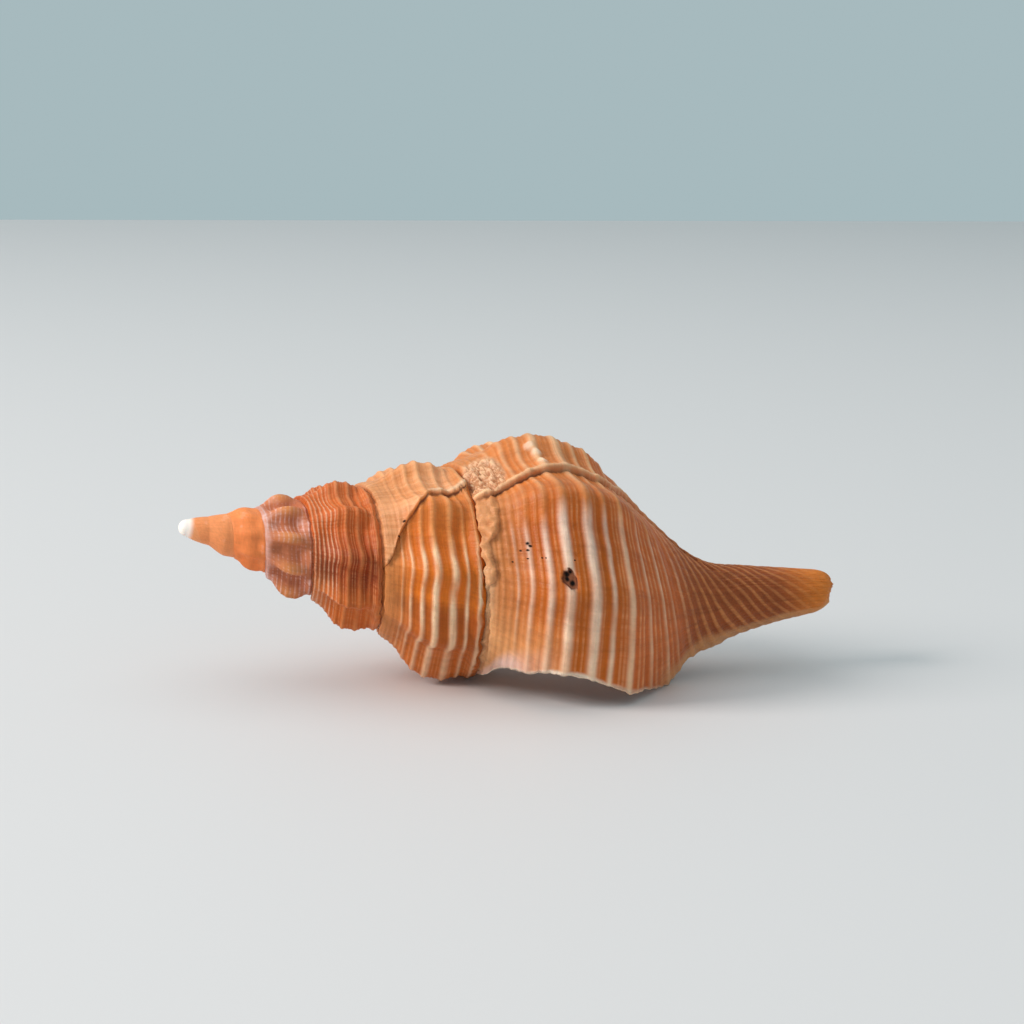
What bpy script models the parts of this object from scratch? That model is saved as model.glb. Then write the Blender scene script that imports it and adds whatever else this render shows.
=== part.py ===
"""A horse conch shell lying on its opening: a right-handed coil of whorls that grows by one ratio a turn,
with a shouldered spire, a swollen last whorl, an open mouth underneath and a long drawn-out canal."""

import math

import bmesh
import bpy
import numpy as np

MM = 0.001

# The coil. Its axis runs along +X from the point of the cone. Angle 0 faces -Y, and angles grow downwards.
SEAM_AXIAL = 42.0 * MM
WHORL_GROWTH = 1.478
SEAM_RATIO = 0.333
NECK_AXIAL_GROWTH = 1.165
NECK_RADIAL_GROWTH = 1.75

# One whorl from the seam above it to the tip of the canal: (distance along the axis, radius), both as a
# share of the distance from the cone's point to the seam above.
PROFILE = [
    (1.000, SEAM_RATIO),
    (1.018, 0.350),
    (1.050, 0.372),
    (1.095, 0.408),
    (1.145, 0.456),
    (1.200, 0.491),
    (1.260, 0.510),
    (1.340, 0.508),
    (1.410, 0.498),
    (WHORL_GROWTH, WHORL_GROWTH * SEAM_RATIO),
    (1.540, 0.430),
    (1.610, 0.362),
    (1.690, 0.282),
    (1.770, 0.206),
    (1.850, 0.164),
    (1.950, 0.128),
    (2.050, 0.104),
    (2.150, 0.082),
    (2.220, 0.058),
]

# The canal's sideways bend: (share of SEAM_AXIAL along the axis, drop), both measured on the coil.
CANAL_BEND = [(1.45, 0.0), (1.75, 1.0 * MM), (2.0, -2.2 * MM), (2.3, -4.0 * MM)]

# The edge of the mouth: (the profile's distance along the axis, angle).
LIP_START = 72.0
LIP = [
    (1.000, LIP_START),
    (1.030, 58.0),
    (1.067, 42.0),
    (1.141, 27.0),
    (1.216, 19.0),
    (1.302, 18.0),
    (1.389, 23.0),
    (1.499, 28.0),
    (1.590, 35.0),
    (1.675, 45.0),
    (1.760, 59.0),
    (1.866, 74.0),
    (2.000, 76.0),
    (2.130, 70.0),
    (2.220, LIP_START),
]

# Knobs across the whorls, and the two steps left where growth stopped for a season.
KNOBS_PER_WHORL = 9
KNOB_PHASE = -9.0
KNOB_HEIGHT = 0.030
STOP_ANGLES = (-64.0, -405.0)
STOP_HEIGHT = 0.014
STOP_SLANT = 12.0
STOP_FADE = 35.0

# The last whorl draws in a little more below its shoulder: (where along the axis, how wide, how far).
TUCK = (1.48, 0.07, 0.020)

WALL = 1.7 * MM
LIP_WALL = 0.9 * MM
CAVITY_TURN = 660.0
CANAL_CLOSES = (-250.0, -340.0)
CANAL_SHARE = (0.46, 0.58)

# Mesh steps: points a span of a smooth line, degrees a row, and columns in the exposed and covered parts.
LINE_STEPS = 24
STEP = 12.0
TIP_ANGLE = LIP_START - 181 * STEP
SPIRE_COLUMNS = 9
BASE_COLUMNS = 18
INNER_SEAM = 0.035

# How the shell lies: the spire lifted, turned and rolled about the axis, then set down on the floor.
TIP_AXIAL = 2.3 * MM
TILT = 8.81
TURN = 10.41
ROLL = 4.41


def smooth(low, high, x):
    share = np.clip((x - low) / (high - low), 0.0, 1.0)
    return share * share * (3.0 - 2.0 * share)


def through(points):
    """A smooth line through the points, and the share of its length at each of its own points."""
    knots = np.array(points, float)
    knots = np.vstack([2 * knots[0] - knots[1], knots, 2 * knots[-1] - knots[-2]])
    line = []
    for first, start, end, last in zip(knots, knots[1:], knots[2:], knots[3:]):
        for s in np.linspace(0.0, 1.0, LINE_STEPS, endpoint=False):
            line.append(
                0.5
                * (
                    2 * start
                    + (end - first) * s
                    + (2 * first - 5 * start + 4 * end - last) * s**2
                    + (3 * start - first - 3 * end + last) * s**3
                )
            )
    line = np.array(line + [knots[-2]])
    length = np.concatenate([[0.0], np.cumsum(np.linalg.norm(np.diff(line, axis=0), axis=1))])
    return line, length / length[-1]


PROFILE_LINE, PROFILE_SHARE = through(PROFILE)
PROFILE_SLOPE = np.gradient(PROFILE_LINE, axis=0)
PROFILE_SLOPE /= np.linalg.norm(PROFILE_SLOPE, axis=1)[:, None]
LIP_LINE = through(LIP)[0]
BEND_LINE = through(CANAL_BEND)[0]
NEXT_SEAM = PROFILE_SHARE[LINE_STEPS * [axial for axial, _ in PROFILE].index(WHORL_GROWTH)]


def lip_angle(share):
    axial = np.interp(share, PROFILE_SHARE, PROFILE_LINE[:, 0])
    return np.interp(axial, LIP_LINE[:, 0], LIP_LINE[:, 1])


def outside(angle, share, inward=0.0):
    """Points of the outer face, or that far inside it, at these angles and shares of the profile."""
    axial = np.interp(share, PROFILE_SHARE, PROFILE_LINE[:, 0])
    radial = np.interp(share, PROFILE_SHARE, PROFILE_LINE[:, 1])
    slope = [np.interp(share, PROFILE_SHARE, PROFILE_SLOPE[:, i]) for i in (0, 1)]
    turns = angle / 360.0
    neck = smooth(NEXT_SEAM, NEXT_SEAM + 0.3, share)
    size = SEAM_AXIAL * WHORL_GROWTH**turns
    axial_size = SEAM_AXIAL * (WHORL_GROWTH + (NECK_AXIAL_GROWTH - WHORL_GROWTH) * neck) ** turns
    radial_size = SEAM_AXIAL * (WHORL_GROWTH + (NECK_RADIAL_GROWTH - WHORL_GROWTH) * neck) ** turns

    # Knobs fade into both seams. On the last whorl they run on over the shoulder and fade out.
    along = share / NEXT_SEAM
    last = smooth(LIP_START - 360.0, -190.0, angle)
    window = smooth(0.05, 0.45, along) * (1 - smooth(0.75, 1.0, along))
    window += (smooth(0.05, 0.45, along) * (1 - smooth(0.9, 1.5, along)) - window) * last
    fade = smooth(-1500.0, -1100.0, angle) * (1 - 0.7 * smooth(-90.0, 20.0, angle))
    knobs = KNOB_HEIGHT * window * fade * np.cos(np.radians(KNOBS_PER_WHORL * (angle - KNOB_PHASE)))
    for stop in STOP_ANGLES:
        before = stop - STOP_SLANT * (along - 0.5) - angle
        knobs = knobs + STOP_HEIGHT * window * np.where(before > 0, np.exp(-before / STOP_FADE), 0.0)

    knobs = knobs - TUCK[2] * np.exp(-(((axial - TUCK[0]) / TUCK[1]) ** 2)) * last

    a = axial * axial_size + inward * slope[1]
    r = (radial + knobs * size / radial_size) * radial_size - inward * slope[0]
    around = np.radians(angle)
    drop = np.interp(a / SEAM_AXIAL, BEND_LINE[:, 0], BEND_LINE[:, 1])
    points = np.stack([a, -r * np.cos(around), -r * np.sin(around) - drop], axis=-1)

    # The first turn closes on the blunt tip.
    since = angle + 360.0 * np.minimum(along, 1.0) - (TIP_ANGLE + 360.0)
    grown = np.clip(since / 360.0, 0.0, 1.0) ** 0.75
    tip = np.array([TIP_AXIAL, 0.0, 0.0])
    return tip + (points - tip) * grown[..., None]


def open_share(angle, share):
    """How far the cavity is open here: not at its ends or seams, nor in the canals of older whorls."""
    ends = smooth(0.0, 60.0, angle + CAVITY_TURN) * smooth(0.0, 0.09, share) * smooth(0.0, 0.1, 1.0 - share)
    return ends * (1.0 - smooth(*CANAL_CLOSES, angle) * smooth(*CANAL_SHARE, share))


def inside(angle, share):
    """The mouth's inner face: a wall below the outer one, closing on the whorl before it at every end."""
    lip = smooth(90.0, 0.0, lip_angle(share) - angle)
    wall = WALL + (LIP_WALL - WALL) * np.maximum(lip, smooth(NEXT_SEAM, 0.75, share))
    wall = wall * WHORL_GROWTH ** (np.minimum(angle, 0.0) / 360.0)
    under = outside(angle, share, wall)
    before = outside(angle - 360.0, np.maximum(share, NEXT_SEAM + INNER_SEAM))
    return before + (under - before) * open_share(angle, share)[..., None]


def grid_faces(rows, columns, first, kept):
    """Quads of a grid whose rows are the lists of vertex numbers, where kept says yes."""
    return [
        (first[i][j], first[i][j + 1], first[i + 1][j + 1], first[i + 1][j])
        for i in range(rows - 1)
        for j in range(columns - 1)
        if kept(i, j)
    ]


def shell_mesh():
    columns = np.concatenate(
        [
            np.linspace(0.0, NEXT_SEAM, SPIRE_COLUMNS + 1),
            np.linspace(NEXT_SEAM + INNER_SEAM, 1.0, BASE_COLUMNS),
        ]
    )
    rows = np.arange(TIP_ANGLE, LIP_START + 0.5 * STEP, STEP)
    inner_rows = np.arange(-CAVITY_TURN, LIP_START + 0.5 * STEP, STEP)[::-1]

    def angles(rows):
        # Rows run straight across the whorl, and over the last part they lean to the edge of the mouth.
        free = -96.0
        share = np.clip((rows - free) / (LIP_START - free), 0.0, None)[:, None]
        return np.where(rows[:, None] < free, rows[:, None], free + share * (lip_angle(columns)[None, :] - free))

    outer = outside(angles(rows), np.broadcast_to(columns, (len(rows), len(columns))))
    inner_shares = np.broadcast_to(columns, (len(inner_rows), len(columns)))
    inner = inside(angles(inner_rows), inner_shares)
    shut = open_share(angles(inner_rows), inner_shares) == 0
    shut = shut[:-1, :-1] & shut[1:, :-1] & shut[:-1, 1:] & shut[1:, 1:]
    sheet = np.concatenate([outer, inner])

    # One more column, all of it one point, closes the canal's end.
    end = outer[-1, -1].copy()
    end[1:] = 0.5 * (outer[-1, -1] + outer[-1 - round(180.0 / STEP), -1])[1:]
    end[0] += 0.2 * MM
    sheet = np.concatenate([sheet, np.broadcast_to(end, (len(sheet), 1, 3))], axis=1)

    count = len(columns)
    seam = SPIRE_COLUMNS

    def kept(i, j):
        outer_row = i < len(rows) - 1
        angle = TIP_ANGLE + (i + 0.5) * STEP
        if j == count - 1:
            return i >= len(rows) - 1 - round(360.0 / STEP) and i < len(rows)
        # Where an older canal is filled in, both faces of the cavity go.
        if not outer_row:
            return i == len(rows) - 1 or not shut[i - len(rows), j]
        if j > seam:
            facing = round((LIP_START - 360.0 - (angle + 0.5 * STEP)) / STEP)
            return angle > -360.0 - CAVITY_TURN and not (facing >= 0 and shut[facing, j])
        if j == seam:
            return angle > LIP_START - 360.0
        return True

    numbers = np.arange(sheet.shape[0] * sheet.shape[1]).reshape(sheet.shape[:2])
    faces = grid_faces(sheet.shape[0], sheet.shape[1], numbers.tolist(), kept)
    return sheet.reshape(-1, 3), faces


def turned(points):
    """Rolls about the axis, lifts the spire, turns about the upright, then stands it over the origin."""
    roll, tilt, turn = (math.radians(v) for v in (ROLL, TILT, TURN))
    about_x = np.array([[1, 0, 0], [0, math.cos(roll), -math.sin(roll)], [0, math.sin(roll), math.cos(roll)]])
    about_y = np.array([[math.cos(tilt), 0, math.sin(tilt)], [0, 1, 0], [-math.sin(tilt), 0, math.cos(tilt)]])
    about_z = np.array([[math.cos(turn), -math.sin(turn), 0], [math.sin(turn), math.cos(turn), 0], [0, 0, 1]])
    points = points @ (about_z @ about_y @ about_x).T
    low, high = points.min(axis=0), points.max(axis=0)
    return points - np.array([(low[0] + high[0]) / 2, (low[1] + high[1]) / 2, low[2]])


def clear_scene():
    for obj in list(bpy.data.objects):
        bpy.data.objects.remove(obj, do_unlink=True)


def build():
    clear_scene()
    scene = bpy.context.scene
    scene.unit_settings.system = "METRIC"
    scene.unit_settings.scale_length = 1.0
    scene.unit_settings.length_unit = "MILLIMETERS"
    collection = bpy.data.collections.new("horse_conch_shell")
    scene.collection.children.link(collection)

    points, faces = shell_mesh()
    mesh = bpy.data.meshes.new("shell")
    mesh.from_pydata(turned(points).tolist(), [], faces)
    shaped = bmesh.new()
    shaped.from_mesh(mesh)
    bmesh.ops.remove_doubles(shaped, verts=shaped.verts, dist=0.004 * MM)
    bmesh.ops.delete(shaped, geom=[v for v in shaped.verts if not v.link_faces], context="VERTS")
    bmesh.ops.dissolve_degenerate(shaped, dist=0.002 * MM, edges=shaped.edges)
    bmesh.ops.triangulate(shaped, faces=shaped.faces)
    bmesh.ops.recalc_face_normals(shaped, faces=shaped.faces)
    shaped.to_mesh(mesh)
    shaped.free()

    shell = bpy.data.objects.new("shell", mesh)
    collection.objects.link(shell)
    material = bpy.data.materials.new("shell")
    material.use_nodes = True
    principled = material.node_tree.nodes["Principled BSDF"]
    principled.inputs["Base Color"].default_value = (0.55, 0.25, 0.09, 1.0)
    principled.inputs["Roughness"].default_value = 0.5
    mesh.materials.append(material)


build()
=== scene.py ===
import math

import bmesh
import bpy
import numpy as np
from mathutils import Matrix, Quaternion, Vector


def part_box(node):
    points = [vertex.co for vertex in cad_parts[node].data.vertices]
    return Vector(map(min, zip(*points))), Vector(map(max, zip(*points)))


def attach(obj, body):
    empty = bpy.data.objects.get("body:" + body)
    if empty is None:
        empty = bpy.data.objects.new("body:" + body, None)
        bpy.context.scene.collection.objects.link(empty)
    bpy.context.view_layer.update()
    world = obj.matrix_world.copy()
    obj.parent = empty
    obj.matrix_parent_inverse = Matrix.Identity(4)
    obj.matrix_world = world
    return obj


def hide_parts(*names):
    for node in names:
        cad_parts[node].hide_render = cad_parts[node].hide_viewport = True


mm = 0.001

# The coil: what a whorl looks like, and how it grows about the axis, which runs along +X from the cone's
# point. Angle 0 faces -Y and angles grow downwards. "Along" is a distance down the axis as a share of the
# distance from the cone's point to the suture above, so one number finds the same place on every whorl.
coil = {
    "sutureDistance": 41.2 * mm,
    "whorlGrowth": 1.478,
    "sutureRadius": 0.333,
    "neckGrowthAlong": 1.165,
    "neckGrowthAcross": 1.75,
    "tipAlong": 1.55 * mm,
    "bulb": 1.14 * mm,
    "bulbCentre": 0.95,  # bulb radii below the tip
    "coneEnd": 7.0 * mm,
    "coneTaper": 0.72,
    "coneFlat": 0.35,
    "chippedEnd": 2.4 * mm,
    "profile": [
        (1.000, 0.333), (1.018, 0.350), (1.050, 0.372), (1.095, 0.408), (1.145, 0.456),
        (1.200, 0.491), (1.260, 0.510), (1.340, 0.508), (1.410, 0.498), (1.478, 0.4922),
        (1.542, 0.430), (1.616, 0.362), (1.701, 0.282), (1.787, 0.206), (1.872, 0.164),
        (1.979, 0.128), (2.084, 0.104), (2.190, 0.086), (2.238, 0.075), (2.264, 0.050),
    ],
    "nextSuture": 9,  # the profile point where the next whorl starts
    "canalBend": [(1.45, 0.0), (1.75, 0.6), (2.0, -1.6), (2.3, -3.6)],
    "tilt": 8.81,
    "turn": 10.41,
    "roll": 4.41,
}

# The edge of the mouth, and the lip left where the last whorl stopped growing for a season: (along, angle).
lips = {
    "start": 72.0,
    "mouth": [
        (1.000, 72.0), (1.030, 50.0), (1.067, 37.0), (1.141, 28.0), (1.216, 22.0),
        (1.302, 21.0), (1.389, 24.5), (1.499, 28.0), (1.590, 35.0), (1.650, 44.0),
        (1.695, 48.0), (1.745, 45.0), (1.800, 47.0), (1.872, 63.0), (2.000, 75.0),
        (2.130, 70.0), (2.220, 72.0),
    ],
    "former": [
        (1.000, -54.0), (1.051, -55.0), (1.081, -57.0), (1.140, -60.0), (1.208, -64.0),
        (1.276, -66.0), (1.360, -69.0), (1.472, -69.0), (1.621, -81.0), (1.700, -83.0),
        (1.790, -78.0), (1.868, -69.5), (1.934, -49.0), (1.989, -35.0), (2.080, -40.0), (2.220, -54.0),
    ],
    "olderRow": -402.0,
    "older": [
        (1.000, -363.0), (1.047, -374.0), (1.079, -388.0), (1.130, -401.0), (1.226, -415.0),
        (1.261, -420.0), (1.309, -421.0), (1.445, -426.0), (1.478, -428.0),
    ],
    "levelAt": 48.0,
    "wall": 1.7 * mm,
    "edge": 0.6 * mm,
    "cavityTurn": 300.0,
    "innerSuture": 0.008,
    "endBulge": 0.2 * mm,
}

# Spiral cords: (along, half width, strength). Threads are the fine ones between them. On the neck they slant.
# The knobs fade in and out along the coil: (from angle, to angle, low, high).
cords = {
    "strong": [
        (1.091, 0.006, 0.45), (1.128, 0.009, 0.6), (1.181, 0.013, 0.75), (1.240, 0.018, 1.0),
        (1.327, 0.020, 1.05), (1.393, 0.012, 0.75), (1.460, 0.014, 0.9), (1.540, 0.009, 0.65),
        (1.607, 0.009, 0.65), (1.655, 0.008, 0.6),
    ],
    "threads": [
        1.020, 1.034, 1.050, 1.072, 1.110, 1.154, 1.208, 1.271, 1.290, 1.356, 1.424, 1.438, 1.493, 1.511,
        1.562, 1.583, 1.631,
    ],
    "threadWidth": 0.0055,
    "besideSpacing": 0.027,
    "faintSpacing": 0.047,
    "neckSpacing": 0.038,
    "neckSlant": 0.0013,
    "height": 0.46 * mm,
    "threadHeight": 0.17 * mm,
    "knobs": 9,
    "knobPhase": -9.0,
    "oldKnobTurn": 11.0,
    "knobHeight": 0.030,
    "knobFade": [
        (-1650.0, -1150.0, 0.0, 1.0), (-90.0, 20.0, 1.0, 0.3), (-270.0, -420.0, 1.0, 1.15),
        (-420.0, -700.0, 1.0, 1.35), (-800.0, -1000.0, 1.0, 1.6),
    ],
    "seed": 4.0,
}

# Marks of the shell's life: the strip beside the last suture, stops in growth (angle, slant, rise), a pit
# bored by other animals, beads and a worn patch. Spots are (angle, along).
scars = {
    "strip": [
        (-60.0, 1.050), (-51.0, 1.066), (-37.0, 1.062), (-31.0, 1.044), (-27.0, 1.028), (-18.0, 1.036),
        (-10.0, 1.036), (-4.0, 1.012), (10.0, 1.006), (40.0, 1.0),
    ],
    "stripHeight": 0.85 * mm,
    "stops": [
        (-780.0, 12.0, 0.018), (-688.0, 10.0, 0.020), (-1017.0, 10.0, 0.030), (-330.0, 8.0, 0.010),
        (-1128.0, 10.0, 0.014),
    ],
    "formerRise": 0.016,
    "olderRise": 0.018,
    "waist": 0.020,
    "topDip": 0.034,
    "rim": 0.40 * mm,
    "collar": 0.40 * mm,
    "beads": [(-81.7, 1.223), (-77.7, 1.243), (-71.0, 1.247)],
    "beadHeight": 0.38 * mm,
    "beadSize": 1.1 * mm,
    "pit": (-15.1, 1.237),
    "pitSize": 1.35 * mm,
    "pitDepth": 0.7 * mm,
    "worn": (-72.0, 1.050),
    "wornLength": 0.45,
    "wornSize": 3.5 * mm,
    "wornHeight": 0.80 * mm,
    "ragged": 0.05,
    "raggedBetween": (8.0 * mm, 16.0 * mm),
    "arcPerDegree": 0.37 * mm,  # round the last whorl's shoulder
}

# Parts of the coil by angle: where each starts, is whole, ends, and was whole for the last time.
zones = {
    "last": (-200.0, -150.0),
    "penultimate": (-560.0, -520.0, -300.0, -330.0),
    "fourth": (-1290.0, -1200.0, -900.0, -960.0),
    "crusted": (-1290.0, -1150.0, -900.0, -1000.0),
    "sculpted": (-1120.0, -860.0),
}

# Mesh: degrees a row on the last whorl, the two before it and the spire, columns across a whorl, and the
# angle from which the rows lean to the mouth's edge.
mesh = {
    "fine": 1.5,
    "middle": 3.0,
    "coarse": 6.0,
    "spireAngle": 1272.0,
    "spireColumns": 72,
    "baseColumns": 108,
    "leanFrom": -96.0,
    "merge": 0.003 * mm,
}


def colour(red, green, blue):
    # a display colour, 0 to 255, as the renderer's linear one
    return (*(((part / 255 + 0.055) / 1.055) ** 2.4 for part in (red, green, blue)), 1.0)


def sums(operation, flipped=False):
    # a method of Value that works one sum out
    return lambda self, other: self.maths(operation, *((other, self) if flipped else (self, other)))


class Value:
    # one value of a node tree, whose sums add the nodes that work them out
    def __init__(self, tree, socket):
        self.tree, self.socket = tree, socket

    def node(self, kind, settings=None, values=None, output=0):
        made = self.tree.nodes.new(kind)
        for name, setting in (settings or {}).items():
            setattr(made, name, setting)
        for key, value in (values or {}).items():
            if isinstance(value, Value):
                self.tree.links.new(value.socket, made.inputs[key])
            else:
                made.inputs[key].default_value = value
        return Value(self.tree, made.outputs[output])

    def maths(self, operation, *terms):
        return self.node("ShaderNodeMath", {"operation": operation}, dict(enumerate(terms)))

    __add__ = __radd__ = sums("ADD")
    __mul__ = __rmul__ = sums("MULTIPLY")
    __sub__, __rsub__ = sums("SUBTRACT"), sums("SUBTRACT", True)
    __truediv__, __rtruediv__ = sums("DIVIDE"), sums("DIVIDE", True)
    __pow__, __rpow__ = sums("POWER"), sums("POWER", True)
    __gt__, __lt__ = sums("GREATER_THAN"), sums("LESS_THAN")
    least, most = sums("MINIMUM"), sums("MAXIMUM")

    def held(self, low, high):
        return self.most(low).least(high)

    def smooth(self, low, high, start=0.0, end=1.0):
        return self.node(
            "ShaderNodeMapRange",
            {"interpolation_type": "SMOOTHSTEP"},
            {"Value": self, "From Min": low, "From Max": high, "To Min": start, "To Max": end},
        )

    def within(self, zone):
        # 1 inside a zone of the coil and 0 outside it
        share = self.smooth(*zone[:2])
        return share * self.smooth(*zone[2:]) if zone[2:] else share

    def bump(self, middle, width):
        # a rounded ridge, 1 at the middle
        return math.e ** (((self - middle) / width) ** 2 * -1.0)

    def fading(self, length):
        # 1 up to nothing, then less and less
        return math.e ** (self.most(0.0) / -length)

    def wave(self, times=1.0, phase=0.0):
        # the cosine of an angle in degrees
        return self.maths("COSINE", (self - phase) * math.radians(times))

    def stripes(self, spacing):
        # ridges at one spacing, 1 on their crests
        return 0.5 + 0.5 * (self * 360.0).wave(1.0 / spacing)

    def steps(self, size):
        # the multiple of the size below
        return self.maths("FLOOR", self / size + 0.001) * size

    def line(self, points):
        # a smooth line through the points, read at this value
        places, heights = zip(*points)
        low, high, start, end = places[0], places[-1], min(heights), max(heights)
        made = self.tree.nodes.new("ShaderNodeFloatCurve")
        made.mapping.extend = "HORIZONTAL"
        curve = made.mapping.curves[0]
        for place, height in points[1:-1]:
            curve.points.new((place - low) / (high - low), (height - start) / (end - start))
        for point, (_, height) in ((curve.points[0], points[0]), (curve.points[len(points) - 1], points[-1])):
            point.location[1] = (height - start) / (end - start)
        for point in curve.points:
            point.handle_type = "AUTO"
        made.mapping.update()
        self.tree.links.new(((self - low) / (high - low)).held(0.0, 1.0).socket, made.inputs["Value"])
        return Value(self.tree, made.outputs["Value"]) * (end - start) + start

    def number(self, amount):
        made = self.node("ShaderNodeValue")
        made.socket.default_value = amount
        return made

    def vector(self, y=0.0, z=0.0):
        return self.node("ShaderNodeCombineXYZ", None, {"X": self, "Y": y, "Z": z})

    def part(self, axis):
        return self.node("ShaderNodeSeparateXYZ", None, {"Vector": self}, axis)

    def moved(self, operation, *others, output=0):
        terms = dict(enumerate([self, *others]))
        return self.node("ShaderNodeVectorMath", {"operation": operation}, terms, output)

    def blended(self, other, share, kind="VECTOR"):
        first, output = {"VECTOR": (4, 1), "RGBA": (6, 2)}[kind]
        values = {0: share, first: self, first + 1: other}
        return self.node("ShaderNodeMix", {"data_type": kind}, values, output)

    def ramp(self, stops):
        # a colour that changes along this value, from (value, colour) stops
        low, high = stops[0][0], stops[-1][0]
        made = self.node("ShaderNodeValToRGB", None, {"Fac": (self - low) / (high - low)})
        elements = made.socket.node.color_ramp.elements
        elements[0].position, elements[0].color = 0.0, colour(*stops[0][1])
        elements[1].position, elements[1].color = 1.0, colour(*stops[-1][1])
        for place, shade in stops[1:-1]:
            elements.new((place - low) / (high - low)).color = colour(*shade)
        return made

    def noise(self, scale, detail=2.0, roughness=0.5, w=0.0):
        # from 0 to 1, at a point
        return self.node(
            "ShaderNodeTexNoise",
            {"noise_dimensions": "4D"},
            {"Vector": self, "W": w, "Scale": scale, "Detail": detail, "Roughness": roughness},
        )

    def uneven(self, other, detail=2.0, roughness=0.5):
        # from -0.5 to 0.5, over this value and another
        return self.vector(other).noise(1.0, detail, roughness) - 0.5


def cordLines(along, angle):
    # how much of a strong cord, a thread, a neck cord and an old whorl's fine line there is at a place
    wobble = (along * 9.0).uneven(angle / 25.0, 1.0)
    slant = (angle + 10.0).held(-110.0, 100.0) * cords["neckSlant"] * along.smooth(1.38, 1.78)
    line = along + wobble * 0.010 - slant
    strong, thread = 0.0, 0.0
    for place, width, strength in cords["strong"]:
        strong = line.bump(place, width) * strength + strong
    for place in cords["threads"]:
        thread = line.bump(place, cords["threadWidth"]) + thread
    # an old whorl has even finer ones beside its suture
    old = angle.smooth(-560.0, -620.0) * angle.smooth(-980.0, -880.0) * line.smooth(1.185, 1.15)
    beside = line.stripes(cords["besideSpacing"]) ** 2.5 * old
    fewer = 1 - 0.6 * angle.smooth(-290.0, -330.0) * angle.smooth(-560.0, -520.0)
    thread = thread * (1 - old) * fewer + beside
    neck = line.stripes(cords["neckSpacing"]) * line.smooth(1.64, 1.70)
    return strong * (1 - old) * line.smooth(1.70, 1.64), thread, neck, beside


def nearSpot(along, offset, spotAlong, radius):
    # 1 at a spot of the last whorl and 0 a radius away, for an offset from it in degrees
    across = offset * scars["arcPerDegree"]
    down = (along - spotAlong) * coil["sutureDistance"]
    return ((across**2.0 + down**2.0) ** 0.5).smooth(radius, 0.3 * radius)


def stripField(along, angle):
    edge = angle.line(scars["strip"]) + (angle / 4.0).uneven(2.5) * 0.016
    return (edge - along).smooth(-0.002, 0.012) * angle.smooth(-61.0, -56.0) * angle.smooth(40.0, 20.0)


def fibres(along, angle):
    # crossing lines, as on worn wood
    one = (angle * 0.20 + along * 12.0).uneven(along * 46.0 - angle * 0.12, 2.0, 0.6)
    return 1 - (one.maths("ABSOLUTE", one) * 9.0).least(1.0)


def profileCurve():
    # the outline of one whorl as a curve, read by the nodes and then removed
    data = bpy.data.curves.new("whorlOutline", "CURVE")
    data.dimensions, data.resolution_u = "3D", 24
    spline = data.splines.new("BEZIER")
    spline.bezier_points.add(len(coil["profile"]) - 1)
    for point, (along, radius) in zip(spline.bezier_points, coil["profile"]):
        point.co = (along, radius, 0.0)
        point.handle_left_type = point.handle_right_type = "AUTO"
    outline = bpy.data.objects.new("whorlOutline", data)
    bpy.context.scene.collection.objects.link(outline)
    return outline


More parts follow.
